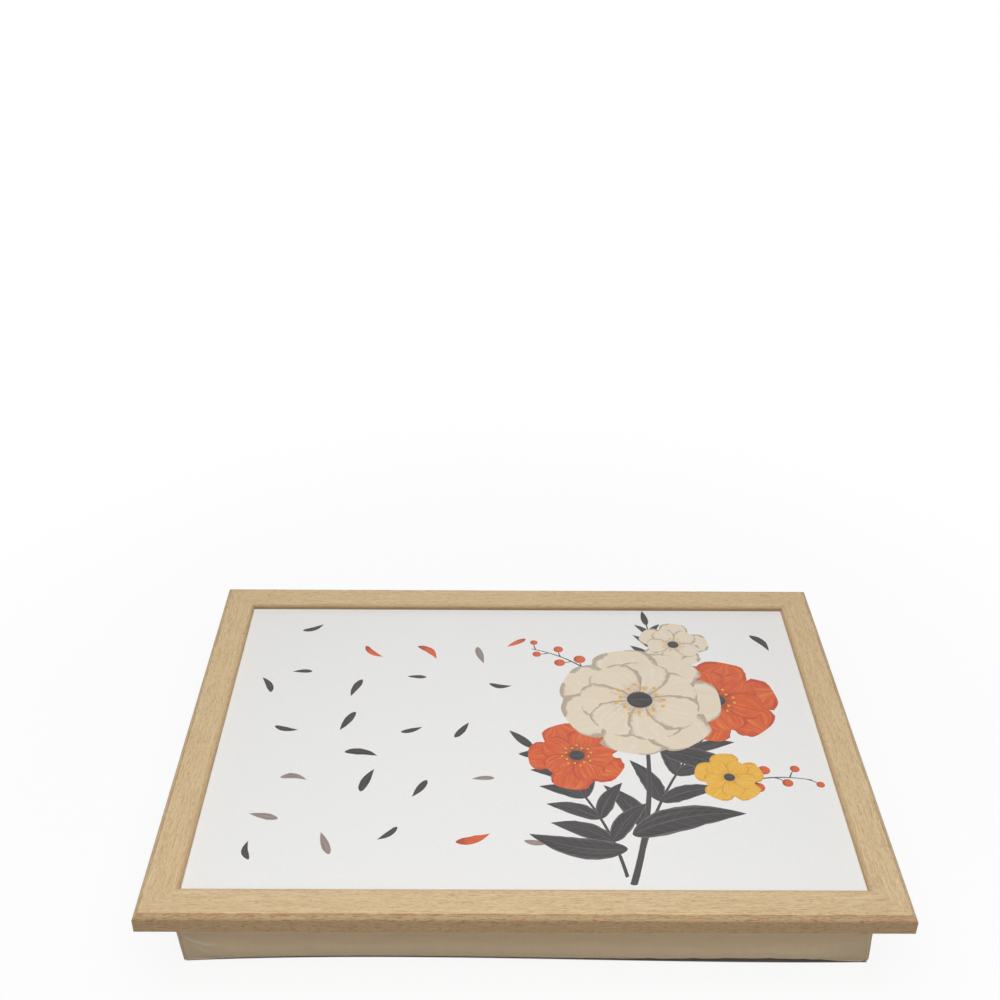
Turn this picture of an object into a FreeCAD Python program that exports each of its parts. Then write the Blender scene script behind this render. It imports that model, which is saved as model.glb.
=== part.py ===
import FreeCAD
import Part

import math
import os

# Lap tray: a mitred frame round a laminated board, held by hook-and-loop tape on a bead cushion.
# Millimetres, +Z up, front at -Y, origin at the bottom centre of the cushion.

# Tray frame
TRAY_WIDTH = 440.0
TRAY_DEPTH = 320.0
RAIL_WIDTH = 22.4
RAIL_HEIGHT = 12.2
SIGHT_LIP = 4.2
REBATE_WIDTH = 10.4
EDGE_RUN = 2.8
EDGE_DROP = 2.2
SHOULDER_ROUND = 2.2
SIGHT_ROUND = 3.0
BACK_ROUND = 0.6

# Board, three bonded layers lying in the rebate
FACE_THICKNESS = 0.6
CORE_THICKNESS = 3.0
BACKING_THICKNESS = 0.4
BOARD_CLEARANCE = 0.5

# Corner nails, two across each mitre, set flush from below
NAIL_LEG = 4.5
NAIL_THICKNESS = 0.6
NAIL_HEIGHT = 6.0
CORNER_NAIL_COUNT = 2

# Framer's points, driven into the rebate wall under the board
POINT_WIDTH = 6.0
POINT_THICKNESS = 0.5
POINT_IN_WOOD = 5.0
POINT_EXPOSED = 4.5
LONG_RAIL_POINT_COUNT = 4
SHORT_RAIL_POINT_COUNT = 3

# Hook-and-loop tapes between board and cushion
TAPE_WIDTH = 20.0
HOOK_THICKNESS = 1.2
LOOP_THICKNESS = 1.2
TAPE_EDGE_MARGIN = 3.0
TAPE_END_MARGIN = 52.0

# Cushion
CUSHION_HEIGHT = 46.0
CUSHION_GAP = 6.0
CUSHION_CORNER = 12.0
SIDE_DRAWN_IN = 3.0
SEAM_DRAWN_IN = 2.0
CROWN_RISE = 1.5
CROWN_RUN = 14.0
COVER_THICKNESS = 1.0
BAG_THICKNESS = 0.5
BAG_CLEARANCE = 0.4
FILL_CLEARANCE = 0.3

# Heights that follow from the sizes above
BOARD_THICKNESS = FACE_THICKNESS + CORE_THICKNESS + BACKING_THICKNESS
BOARD_BOTTOM = CUSHION_HEIGHT + LOOP_THICKNESS + HOOK_THICKNESS
FACE_TOP = BOARD_BOTTOM + BOARD_THICKNESS
FRAME_TOP = FACE_TOP + SIGHT_LIP
FRAME_BOTTOM = FRAME_TOP - RAIL_HEIGHT

# Plan sizes that follow from the sizes above
WALL = RAIL_WIDTH - REBATE_WIDTH
HALF_X = TRAY_WIDTH / 2
HALF_Y = TRAY_DEPTH / 2
CUSHION_HALF_X = HALF_X - WALL - CUSHION_GAP
CUSHION_HALF_Y = HALF_Y - WALL - CUSHION_GAP


def vector(x, y, z=0.0):
    return FreeCAD.Vector(x, y, z)


def box(x0, x1, y0, y1, z0, z1):
    return Part.makeBox(x1 - x0, y1 - y0, z1 - z0, vector(x0, y0, z0))


def prism(points, z0, z1):
    """A flat outline of (x, y) points, extruded upward."""
    loop = [vector(x, y, z0) for x, y in points]
    face = Part.Face(Part.makePolygon(loop + loop[:1]))
    return face.extrude(vector(0, 0, z1 - z0))


def arc_about(start, end, centre):
    """An arc from start to end that bulges away from the centre."""
    middle = (start + end) * 0.5 - centre
    middle.normalize()
    radius = (start - centre).Length
    return Part.Arc(start, centre + middle * radius, end).toShape()


def mitre_wedges(half_x, half_y, run, z0, z1):
    """The four plan zones of a rectangle, by name, parted at 45 degrees through its corners."""
    front = [
        (-half_x, -half_y),
        (half_x, -half_y),
        (half_x - run, -half_y + run),
        (-half_x + run, -half_y + run),
    ]
    left = [
        (-half_x, -half_y),
        (-half_x + run, -half_y + run),
        (-half_x + run, half_y - run),
        (-half_x, half_y),
    ]
    outlines = {
        "front": front,
        "back": [(-x, -y) for x, y in front],
        "left": left,
        "right": [(-x, -y) for x, y in left],
    }
    return {name: prism(points, z0, z1) for name, points in outlines.items()}


def rail_profile(to_point):
    """The moulding's cross-section, with to_point taking (inward, upward) to a point in space."""
    slope = math.atan2(EDGE_DROP, EDGE_RUN)
    tangent = SHOULDER_ROUND * math.tan(math.pi / 4 - slope / 2)
    shoulder = RAIL_HEIGHT - EDGE_DROP
    foot = to_point(0, BACK_ROUND)
    face_top = to_point(0, shoulder - tangent)
    bevel_foot = to_point(tangent * math.cos(slope), shoulder + tangent * math.sin(slope))
    crown = to_point(EDGE_RUN, RAIL_HEIGHT)
    sight_top = to_point(RAIL_WIDTH - SIGHT_ROUND, RAIL_HEIGHT)
    sight_side = to_point(RAIL_WIDTH, RAIL_HEIGHT - SIGHT_ROUND)
    lip_bottom = to_point(RAIL_WIDTH, RAIL_HEIGHT - SIGHT_LIP)
    rebate_top = to_point(WALL, RAIL_HEIGHT - SIGHT_LIP)
    rebate_foot = to_point(WALL, 0)
    back = to_point(BACK_ROUND, 0)
    edges = [
        Part.makeLine(foot, face_top),
        arc_about(face_top, bevel_foot, to_point(SHOULDER_ROUND, shoulder - tangent)),
        Part.makeLine(bevel_foot, crown),
        Part.makeLine(crown, sight_top),
        arc_about(
            sight_top,
            sight_side,
            to_point(RAIL_WIDTH - SIGHT_ROUND, RAIL_HEIGHT - SIGHT_ROUND),
        ),
        Part.makeLine(sight_side, lip_bottom),
        Part.makeLine(lip_bottom, rebate_top),
        Part.makeLine(rebate_top, rebate_foot),
        Part.makeLine(rebate_foot, back),
        arc_about(back, foot, to_point(BACK_ROUND, BACK_ROUND)),
    ]
    return Part.Face(Part.Wire(edges))


def rails():
    """The four mitred rails, by side."""
    wedges = mitre_wedges(HALF_X, HALF_Y, RAIL_WIDTH, FRAME_BOTTOM, FRAME_TOP)
    front = rail_profile(lambda u, v: vector(-HALF_X, -HALF_Y + u, FRAME_BOTTOM + v))
    left = rail_profile(lambda u, v: vector(-HALF_X + u, -HALF_Y, FRAME_BOTTOM + v))
    back = rail_profile(lambda u, v: vector(-HALF_X, HALF_Y - u, FRAME_BOTTOM + v))
    right = rail_profile(lambda u, v: vector(HALF_X - u, -HALF_Y, FRAME_BOTTOM + v))
    along_x = vector(TRAY_WIDTH, 0, 0)
    along_y = vector(0, TRAY_DEPTH, 0)
    bars = {
        "front": front.extrude(along_x),
        "back": back.extrude(along_x),
        "left": left.extrude(along_y),
        "right": right.extrude(along_y),
    }
    return {side: bar.common(wedges[side]) for side, bar in bars.items()}


def corner_nails():
    """V-shaped nails whose legs reach into both rails of each corner."""
    nails = []
    for sign_x in (-1, 1):
        for sign_y in (-1, 1):
            for number in range(CORNER_NAIL_COUNT):
                inset = WALL * (number + 1) / (CORNER_NAIL_COUNT + 1)
                near = inset - NAIL_THICKNESS / 2
                inner = inset + NAIL_THICKNESS / 2
                far = near + NAIL_LEG
                outline = [
                    (near, near),
                    (far, near),
                    (far, inner),
                    (inner, inner),
                    (inner, far),
                    (near, far),
                ]
                points = [
                    (sign_x * (HALF_X - u), sign_y * (HALF_Y - v)) for u, v in outline
                ]
                nails.append(prism(points, FRAME_BOTTOM, FRAME_BOTTOM + NAIL_HEIGHT))
    return nails


def spread(count, length):
    """Evenly spaced stations centred on zero, half a pitch in from each end."""
    pitch = length / count
    return [(number + 0.5) * pitch - length / 2 for number in range(count)]


def framer_points():
    """Flat steel points that stand out of the rebate wall under the board."""
    low = BOARD_BOTTOM - POINT_THICKNESS
    half = POINT_WIDTH / 2
    root = WALL - POINT_IN_WOOD
    tip = WALL + POINT_EXPOSED
    points = []
    for x in spread(LONG_RAIL_POINT_COUNT, TRAY_WIDTH - 2 * WALL):
        points.append(box(x - half, x + half, -HALF_Y + root, -HALF_Y + tip, low, BOARD_BOTTOM))
        points.append(box(x - half, x + half, HALF_Y - tip, HALF_Y - root, low, BOARD_BOTTOM))
    for y in spread(SHORT_RAIL_POINT_COUNT, TRAY_DEPTH - 2 * WALL):
        points.append(box(-HALF_X + root, -HALF_X + tip, y - half, y + half, low, BOARD_BOTTOM))
        points.append(box(HALF_X - tip, HALF_X - root, y - half, y + half, low, BOARD_BOTTOM))
    return points


def board_layers():
    """The backing, core and face of the board, from the bottom up."""
    half_x = HALF_X - WALL - BOARD_CLEARANCE
    half_y = HALF_Y - WALL - BOARD_CLEARANCE
    layers = {}
    low = BOARD_BOTTOM
    for name, thickness in (
        ("backing_laminate", BACKING_THICKNESS),
        ("core_board", CORE_THICKNESS),
        ("face_laminate", FACE_THICKNESS),
    ):
        layers[name] = box(-half_x, half_x, -half_y, half_y, low, low + thickness)
        low += thickness
    return layers


def tapes(z0, z1):
    """The four tape strips between two heights, by side."""
    inset = CROWN_RUN + TAPE_EDGE_MARGIN
    outer_x = CUSHION_HALF_X - inset
    outer_y = CUSHION_HALF_Y - inset
    end_x = CUSHION_HALF_X - TAPE_END_MARGIN
    end_y = CUSHION_HALF_Y - TAPE_END_MARGIN
    return {
        "front": box(-end_x, end_x, -outer_y, -outer_y + TAPE_WIDTH, z0, z1),
        "back": box(-end_x, end_x, outer_y - TAPE_WIDTH, outer_y, z0, z1),
        "left": box(-outer_x, -outer_x + TAPE_WIDTH, -end_y, end_y, z0, z1),
        "right": box(outer_x - TAPE_WIDTH, outer_x, -end_y, end_y, z0, z1),
    }


def cushion_outline(inset, z):
    """The cushion's plan outline at a height: round corners and sides drawn in between them."""
    half_x = CUSHION_HALF_X - inset
    half_y = CUSHION_HALF_Y - inset
    corner = max(CUSHION_CORNER - inset, CUSHION_CORNER / 4)
    cut_off = corner * (1 - math.sqrt(0.5))
    turns = []
    for sx, sy in ((-1, -1), (1, -1), (1, 1), (-1, 1)):
        on_long_side = vector(sx * (half_x - corner), sy * half_y, z)
        on_short_side = vector(sx * half_x, sy * (half_y - corner), z)
        across = vector(sx * (half_x - cut_off), sy * (half_y - cut_off), z)
        if sx == sy:
            turns.append((on_short_side, across, on_long_side))
        else:
            turns.append((on_long_side, across, on_short_side))
    waists = [
        vector(0, SIDE_DRAWN_IN - half_y, z),
        vector(half_x - SIDE_DRAWN_IN, 0, z),
        vector(0, half_y - SIDE_DRAWN_IN, z),
        vector(SIDE_DRAWN_IN - half_x, 0, z),
    ]
    edges = []
    for number, (start, across, leave) in enumerate(turns):
        reach = turns[(number + 1) % 4][0]
        edges.append(Part.Arc(start, across, leave).toShape())
        edges.append(Part.Arc(leave, waists[number], reach).toShape())
    return Part.Wire(edges)


def loft(sections, ruled):
    wires = [cushion_outline(inset, z) for inset, z in sections]
    return Part.makeLoft(wires, True, ruled)


def belly(inset, z0, z1):
    """The bulging middle of the cushion between its two seams."""
    seam = inset + SEAM_DRAWN_IN
    return loft([(seam, z0), (inset, (z0 + z1) / 2), (seam, z1)], False)


def crown(inset, flat_z, seam_z):
    """The shallow dome from a flat panel out to its seam."""
    return loft([(inset + CROWN_RUN, flat_z), (inset + SEAM_DRAWN_IN, seam_z)], True)


def pillow(inset, z0, z1):
    """The whole cushion form between two heights, drawn in by an inset."""
    low_seam = z0 + CROWN_RISE
    high_seam = z1 - CROWN_RISE
    middle = belly(inset, low_seam, high_seam)
    form = middle.fuse(crown(inset, z0, low_seam)).fuse(crown(inset, z1, high_seam))
    return form.removeSplitter()


def cover_panel(flat_z, seam_z, inward):
    """A crowned panel of cover cloth, one cloth thickness deep."""
    dome = crown(0, flat_z, seam_z)
    hollow = crown(0, flat_z + inward, seam_z + inward)
    return dome.cut(hollow)


def gussets():
    """The four side bands of the cover, by side, parted at the corner seams."""
    low = CROWN_RISE
    high = CUSHION_HEIGHT - CROWN_RISE
    ring = belly(0, low, high).cut(belly(COVER_THICKNESS, low, high))
    run = CUSHION_CORNER + SIDE_DRAWN_IN + SEAM_DRAWN_IN + COVER_THICKNESS
    wedges = mitre_wedges(CUSHION_HALF_X, CUSHION_HALF_Y, run, low, high)
    return {side: ring.common(wedge) for side, wedge in wedges.items()}


def inner_pieces():
    """The bag inside the cover and the filling inside the bag."""
    skin = COVER_THICKNESS + BAG_CLEARANCE
    lining = skin + BAG_THICKNESS
    core = lining + FILL_CLEARANCE
    bag = pillow(skin, skin, CUSHION_HEIGHT - skin).cut(
        pillow(lining, lining, CUSHION_HEIGHT - lining)
    )
    return bag, pillow(core, core, CUSHION_HEIGHT - core)


def parts():
    """Every piece by node name."""
    made = {}
    nails = Part.makeCompound(corner_nails())
    points = Part.makeCompound(framer_points())
    for side, rail in rails().items():
        made["rail_" + side] = rail.cut(nails).cut(points)
    made["corner_nails"] = nails
    made["framer_points"] = points
    made.update(board_layers())
    tape_middle = CUSHION_HEIGHT + LOOP_THICKNESS
    for side, tape in tapes(tape_middle, BOARD_BOTTOM).items():
        made["hook_tape_" + side] = tape
    for side, tape in tapes(CUSHION_HEIGHT, tape_middle).items():
        made["loop_tape_" + side] = tape
    made["cover_top"] = cover_panel(
        CUSHION_HEIGHT, CUSHION_HEIGHT - CROWN_RISE, -COVER_THICKNESS
    )
    made["cover_base"] = cover_panel(0, CROWN_RISE, COVER_THICKNESS)
    for side, gusset in gussets().items():
        made["gusset_" + side] = gusset
    made["inner_bag"], made["bead_fill"] = inner_pieces()
    return made


os.makedirs("parts", exist_ok=True)
for node, shape in parts().items():
    shape.exportStep("parts/" + node + ".step")
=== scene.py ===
import math

import bmesh
import bpy
import numpy as np
from bpy.props import FloatProperty, FloatVectorProperty, IntProperty, PointerProperty
from mathutils import Matrix, Vector, geometry, noise


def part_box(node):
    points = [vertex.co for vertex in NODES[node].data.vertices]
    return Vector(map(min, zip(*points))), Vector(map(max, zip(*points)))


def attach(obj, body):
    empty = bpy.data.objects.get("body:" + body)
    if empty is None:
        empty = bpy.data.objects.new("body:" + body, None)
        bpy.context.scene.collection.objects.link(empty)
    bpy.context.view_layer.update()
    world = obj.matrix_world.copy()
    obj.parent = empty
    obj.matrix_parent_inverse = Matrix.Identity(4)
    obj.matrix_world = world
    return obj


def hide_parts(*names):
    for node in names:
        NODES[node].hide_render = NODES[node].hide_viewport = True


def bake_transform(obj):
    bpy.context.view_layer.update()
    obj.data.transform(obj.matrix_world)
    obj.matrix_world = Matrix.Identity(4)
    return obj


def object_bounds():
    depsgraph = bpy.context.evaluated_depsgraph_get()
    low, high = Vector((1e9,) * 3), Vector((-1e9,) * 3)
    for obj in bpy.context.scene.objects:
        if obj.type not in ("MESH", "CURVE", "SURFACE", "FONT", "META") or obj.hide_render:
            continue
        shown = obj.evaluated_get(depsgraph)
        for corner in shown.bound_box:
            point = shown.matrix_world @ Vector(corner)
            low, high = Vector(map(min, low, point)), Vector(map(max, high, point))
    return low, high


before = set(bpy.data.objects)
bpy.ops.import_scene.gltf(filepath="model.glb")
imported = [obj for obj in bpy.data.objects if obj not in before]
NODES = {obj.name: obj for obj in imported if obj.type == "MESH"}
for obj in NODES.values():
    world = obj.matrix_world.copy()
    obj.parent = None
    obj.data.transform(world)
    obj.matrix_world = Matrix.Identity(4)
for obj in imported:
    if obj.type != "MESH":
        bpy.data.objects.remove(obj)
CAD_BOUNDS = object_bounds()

bl_info = {
    "name": "Lap Tray",
    "version": (1, 0, 0),
    "blender": (4, 5, 0),
    "location": "3D View > Sidebar > Lap Tray",
    "description": "Finishes, printed board and soft cushion of a lap tray, built on its CAD frame",
    "category": "Object",
}

SIDES = ("front", "back", "left", "right")
MM = 0.001
ORIGIN = (0, 0, 0)
UP = Vector((0, 0, 1))
BLACK = (0, 0, 0, 1)
GREY = (0.5, 0.5, 0.5, 1)
WHITE = (1, 1, 1, 1)


# Settings


def colour(label, note, *rgb):
    return FloatVectorProperty(
        name=label, description=note, default=(*rgb, 1), size=4, min=0, max=1, subtype="COLOR"
    )


def length(label, note, value):
    return FloatProperty(name=label, description=note, default=value, min=0, unit="LENGTH", precision=5)


def amount(label, note, value):
    return FloatProperty(name=label, description=note, default=value, min=0)


def power(label, note, value):
    return FloatProperty(name=label, description=note, default=value, min=0, unit="POWER")


def whole(label, note, value):
    return IntProperty(name=label, description=note, default=value, min=0)


class WoodSettings(bpy.types.PropertyGroup):
    pale: colour("Pale grain", "Lightest tone of the rail foil", 0.74, 0.58, 0.352)
    deep: colour("Deep grain", "Darker bands of the rail foil", 0.63, 0.46, 0.25)
    pore: colour("Pores", "Short dashes along the grain", 0.40, 0.19, 0.095)
    # Painted shade: multiplies the foil on the front rail's outer bevel and face and on the sight edge's
    # inner round-over.
    outer: colour("Outer tone", "Multiplies the foil at the front and by the print", 0.795, 0.72, 0.65)
    raw: colour("Raw timber", "Unwrapped underside and rebate", 0.62, 0.46, 0.28)
    joint: colour("Mitre line", "Shadow in the corner joints", 0.20, 0.12, 0.07)
    joint_width: length("Mitre line width", "Half width of the shadow in a corner joint", 0.0003)
    arris: length("Arris", "Distance of the arris from the rail's outer face", 0.0028)


class PrintSettings(bpy.types.PropertyGroup):
    paper: colour("Ground", "White ground of the print", 0.875, 0.87, 0.853)
    charcoal: colour("Charcoal", "Leaves, stems and flower centres", 0.014, 0.012, 0.014)
    taupe: colour("Taupe", "Lighter drifting leaves", 0.22, 0.165, 0.15)
    cream: colour("Cream", "Pale blossoms", 0.78, 0.66, 0.50)
    red: colour("Orange red", "Bright blossoms and berries", 0.62, 0.085, 0.022)
    yellow: colour("Yellow", "Stamens and small blossoms", 0.80, 0.42, 0.03)
    scatter: whole("Drifting leaves", "How many small leaves drift over the ground", 26)
    seed: whole("Seed", "Number that fixes the drift and small variations", 7)


class CushionSettings(bpy.types.PropertyGroup):
    cloth: colour("Cloth", "Colour of the cover's yarn", 0.88, 0.70, 0.47)
    shade: colour("Cloth shade", "Between the threads", 0.73, 0.56, 0.36)
    # Painted highlight: paler cloth on the crease ridges and the seams, where they would catch the light.
    rubbed: colour("Rubbed cloth", "Paler cloth on the crests of folds and seams", 0.98, 0.88, 0.72)
    bag: colour("Inner bag", "Thin white bag inside the cover", 0.78, 0.78, 0.76)
    step: length("Cloth grid", "Size of the simulated cloth's squares", 0.005)
    row: length("Cloth row", "Height of the squares on the side bands", 0.002)
    drawn_in: length("Drawn in", "How far each seam is drawn in between its corners", 0.0020)
    skew: amount("Skew", "How much more the front base seam is drawn in at its left than at its right", 1.8)
    inset: length("Seam inset", "How far the seams lie inside the cushion's corners", 0.0002)
    seam_lift: length("Seam lift", "Height of the base seam over the floor between the corners", 0.0008)
    offset: length("Offset", "How far the cushion lies to the right under the frame", 0.0008)
    lean: length("Lean", "How far the base seam lies to the right of the top seam", 0.0027)
    spread: length("Spread", "How far the filling pushes the side bands out", 0.0009)
    flare: length("Flare", "How much further out the top seam's ends lie than the base seam's", 0.0011)
    loose: length("Loose stretch", "Height of the front base seam where it hangs loose", 0.0046)
    corner_round: length("Corner round", "Radius of the front base seam's right-hand corner", 0.0028)
    slump: length("Slump", "How far the sunken filling pushes the sides out, low down", 0.004)
    move: length("Most movement", "The furthest that the simulation may push the cloth", 0.007)
    seam_radius: length("Seam radius", "Thickness of the folded seam", 0.00045)
    pressure: amount("Pressure", "Push of the filling on the cloth", 4.0)
    slack: amount("Slack", "Share by which the cloth is cut too large", 0.004)
    frames: whole("Frames", "Length of the cloth simulation", 20)
    thread: length("Thread", "Distance between two threads of the cloth", 0.0006)


class StageSettings(bpy.types.PropertyGroup):
    floor: colour("Floor", "Pale floor as it is seen", 0.96, 0.96, 0.96)
    # Painted shadow: the darker floor colour seen in the narrow gap under the cushion.
    gap: colour("Floor in gaps", "Floor in the narrow gap under the object", 0.30, 0.28, 0.27)
    bounce: colour("Floor bounce", "Floor as it throws light back", 0.55, 0.545, 0.54)
    floor_glow: amount("Floor glow", "Share of the floor's white that needs no light, near the object", 0.9)
    key_power: power("Key light", "Large soft light overhead", 7.72)
    fill_power: power("Fill light", "Soft light from the front", 2.4)
    rear_power: power("Rear light", "Soft light from behind", 0.9)
    ambient: amount("Ambient", "Strength of the light from all round", 0.13)
    lens: FloatProperty(
        name="Lens", description="Focal length on a 36 mm sensor", default=47.658, unit="CAMERA"
    )


class TraySettings(bpy.types.PropertyGroup):
    wood: PointerProperty(type=WoodSettings)
    print: PointerProperty(type=PrintSettings)
    cushion: PointerProperty(type=CushionSettings)
    stage: PointerProperty(type=StageSettings)


# Shader building


class Nodes:
    """A node tree in the making. Its methods add nodes and give the sockets with their results."""

    def __init__(self, tree):
        self.tree = tree

    def feed(self, socket, value):
        """Links a socket to another one, or sets its value."""
        if isinstance(value, bpy.types.NodeSocket):
            self.tree.links.new(value, socket)
        else:
            socket.default_value = value

    def add(self, kind, inputs=None, **settings):
        """The outputs of a new shader node."""
        node = self.tree.nodes.new("ShaderNode" + kind)
        for key, value in settings.items():
            setattr(node, key, value)
        for key, value in (inputs or {}).items():
            self.feed(node.inputs[key], value)
        return node.outputs

    def group(self, group, inputs):
        return self.add("Group", inputs, node_tree=group())

    def maths(self, operation, *values):
        return self.add("Math", dict(enumerate(values)), operation=operation)[0]

    def times(self, first, *others):
        for other in others:
            first = self.maths("MULTIPLY", first, other)
        return first

    def minus(self, first, second):
        return self.maths("SUBTRACT", first, second)

    def ramp(self, value, low, high, to_low=0.0, to_high=1.0, soft=True):
        """A value carried from one range to another and held at its ends."""
        sockets = {"Value": value, "From Min": low, "From Max": high, "To Min": to_low, "To Max": to_high}
        kind = "SMOOTHSTEP" if soft else "LINEAR"
        return self.add("MapRange", sockets, interpolation_type=kind)["Result"]

    def mix(self, factor, first, second, mode="MIX"):
        """Two colours mixed by a factor."""
        sockets = {0: factor, 6: first, 7: second}
        return self.add("Mix", sockets, data_type="RGBA", blend_type=mode)[2]

    def noise(self, spot, scale, detail=3, rough=0.55):
        """Soft noise, with one scale or with a scale for each axis."""
        if isinstance(scale, tuple):
            spot = self.add("VectorMath", {0: spot, 1: scale}, operation="MULTIPLY")[0]
            scale = 1
        sockets = {"Vector": spot, "Scale": scale, "Detail": detail, "Roughness": rough}
        return self.add("TexNoise", sockets)["Fac"]

    def split(self, vector):
        return self.add("SeparateXYZ", {0: vector})

    def place(self):
        """Coordinates in metres that stay with the piece."""
        return self.add("TexCoord")["Object"]

    def bump(self, height, distance):
        return self.add("Bump", {"Height": height, "Distance": distance, "Strength": 1.0})["Normal"]


class Finish(Nodes):
    """A material in the making, round its Principled shader."""

    def __init__(self, name):
        self.material = bpy.data.materials.new(name)
        self.material.use_nodes = True
        super().__init__(self.material.node_tree)

    def flecks(self, scale, first, second):
        return self.group(
            speckle, {"Vector": self.place(), "Scale": scale, "First": first, "Second": second}
        )

    def done(self, **sockets):
        """The material, with its shader's sockets set or linked. Underscores stand for spaces."""
        shader = self.tree.nodes["Principled BSDF"]
        for key, value in sockets.items():
            self.feed(shader.inputs[key.replace("_", " ")], value)
        return self.material


def shader_group(name, inputs):
    """Makes a function that fills a node tree into one that gives a node group, built once."""

    def socket(tree, label, way, kind):
        return tree.interface.new_socket(label, in_out=way, socket_type="NodeSocket" + kind)

    def wrap(fill):
        def group():
            tree = bpy.data.node_groups.get(name)
            if tree is None:
                tree = bpy.data.node_groups.new(name, "ShaderNodeTree")
                for label, value in inputs.items():
                    kind = {3: "Vector", 4: "Color"}[len(value)] if isinstance(value, tuple) else "Float"
                    socket(tree, label, "INPUT", kind).default_value = value
                results = fill(Nodes(tree), tree.nodes.new("NodeGroupInput").outputs)
                for label in results:
                    socket(tree, label, "OUTPUT", "Color" if label == "Color" else "Float")
                leave = tree.nodes.new("NodeGroupOutput")
                for label, result in results.items():
                    tree.links.new(result, leave.inputs[label])
            return tree

        return group

    return wrap


def dimmed(tone, share):
    return (*(share * part for part in tone[:3]), 1)


# Node groups

# Features per metre along the grain, across it and through it
GRAIN_BANDS = (3, 300, 300)
GRAIN_FIBRE = (35, 1500, 1200)
PORE_CROWDS = (16, 110, 110)
LONG_PORES = (150, 1900, 1600)
SHORT_PORES = (300, 2400, 2000)

# Thick and thin stretches of yarn per metre, along a thread and across it
YARN_LONG = 45
YARN_WIDE = 900


@shader_group("Foil grain", {"Vector": ORIGIN, "Pale": GREY, "Deep": GREY, "Pore": GREY})
def foil_grain(build, given):
    """Fine pale hardwood grain along X: soft bands, fine streaks and short dark pores."""
    spot = given["Vector"]
    bands = build.ramp(build.noise(spot, GRAIN_BANDS, 4), 0.36, 0.66, 0.0, 0.35)
    fibre = build.noise(spot, GRAIN_FIBRE, 4, 0.65)
    tone = build.mix(bands, given["Pale"], given["Deep"])
    tone = build.mix(build.ramp(fibre, 0.35, 0.68), tone, given["Deep"])
    crowd = build.ramp(build.noise(spot, PORE_CROWDS, 2), 0.34, 0.60, 0.8, 1.0)
    long = build.ramp(build.noise(spot, LONG_PORES, 1), 0.58, 0.68)
    short = build.ramp(build.noise(spot, SHORT_PORES, 1), 0.56, 0.68)
    pores = build.times(build.maths("MAXIMUM", long, short), crowd)
    return {
        "Color": build.mix(build.times(pores, 0.5), tone, given["Pore"]),
        "Roughness": build.ramp(fibre, 0.2, 0.8, 0.50, 0.64),
        "Height": build.minus(build.times(fibre, 0.35), pores),
        "Pores": pores,
    }


@shader_group(
    "Frame lines",
    {
        "Vector": ORIGIN,
        "Half width": 0.2,
        "Half depth": 0.15,
        "Rail": 0.02,
        "Line": 0.0003,
        "Arris": 0.003,
        "Top": 0.05,
        "Lip": 0.004,
    },
)
def frame_lines(build, given):
    """Masks on a mitred frame: its joints, broken arris, outside faces, sight edge and the shadow there."""
    x, y, z = build.split(given["Vector"])
    rail = given["Rail"]
    from_end = build.minus(given["Half width"], build.maths("ABSOLUTE", x))
    from_side = build.minus(given["Half depth"], build.maths("ABSOLUTE", y))
    apart = build.maths("ABSOLUTE", build.minus(from_end, from_side))
    joint = build.ramp(apart, given["Line"], 0.0)
    inner = build.ramp(from_end, build.times(rail, 0.55), rail, 0.04, 0.55)
    near = build.maths("MINIMUM", from_end, from_side)
    from_arris = build.minus(near, given["Arris"])
    crease = build.ramp(build.maths("ABSOLUTE", from_arris), 0.0007, 0.0001)
    broken = build.ramp(build.noise(given["Vector"], 95, 2), 0.40, 0.58)
    depth = build.times(given["Lip"], 0.75)
    sunk = build.ramp(build.minus(given["Top"], z), 0.0, depth)
    within = build.maths("GREATER_THAN", near, build.times(rail, 0.6))
    return {
        "Mitre": build.times(joint, inner),
        "Crease": build.times(crease, broken),
        "Outside": build.ramp(from_arris, 0.0002, -0.0003),
        "Sight": build.ramp(near, build.minus(rail, depth), rail, 0.0, 0.85, False),
        "Contact": build.times(sunk, within),
    }


@shader_group("Edge wear", {"Vector": ORIGIN, "Radius": 0.0005})
def edge_wear(build, given):
    """A broken mask along a piece's sharp edges."""
    rounded = build.add("Bevel", {"Radius": given["Radius"]}, samples=4)[0]
    flat = build.add("NewGeometry")["Normal"]
    meet = build.add("VectorMath", {0: rounded, 1: flat}, operation="DOT_PRODUCT")["Value"]
    broken = build.ramp(build.noise(given["Vector"], 260), 0.38, 0.62)
    return {"Mask": build.times(build.ramp(meet, 0.995, 0.86), broken)}


@shader_group("Plain weave", {"Vector": ORIGIN, "Thread": 0.0006})
def plain_weave(build, given):
    """Over-and-under threads on flat cloth coordinates in metres."""
    spot = given["Vector"]
    x, y, _ = build.split(spot)
    turn = build.maths("DIVIDE", math.pi, given["Thread"])
    turns = build.times(x, turn), build.times(y, turn)
    warp, weft = (build.maths("ABSOLUTE", build.maths("SINE", way)) for way in turns)
    over = build.times(*(build.maths("SINE", build.times(way, 0.5)) for way in turns))
    share = build.ramp(over, -0.4, 0.4)
    below = build.times(weft, build.minus(1.0, share))
    slubs = build.noise(spot, (YARN_LONG, YARN_WIDE, 1), 2)
    nubs = build.noise(spot, (YARN_WIDE, YARN_LONG, 1), 2)
    return {
        "Height": build.maths("ADD", build.times(warp, share), below),
        "Yarn": build.ramp(build.maths("ADD", slubs, nubs), 0.7, 1.3),
    }


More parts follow.
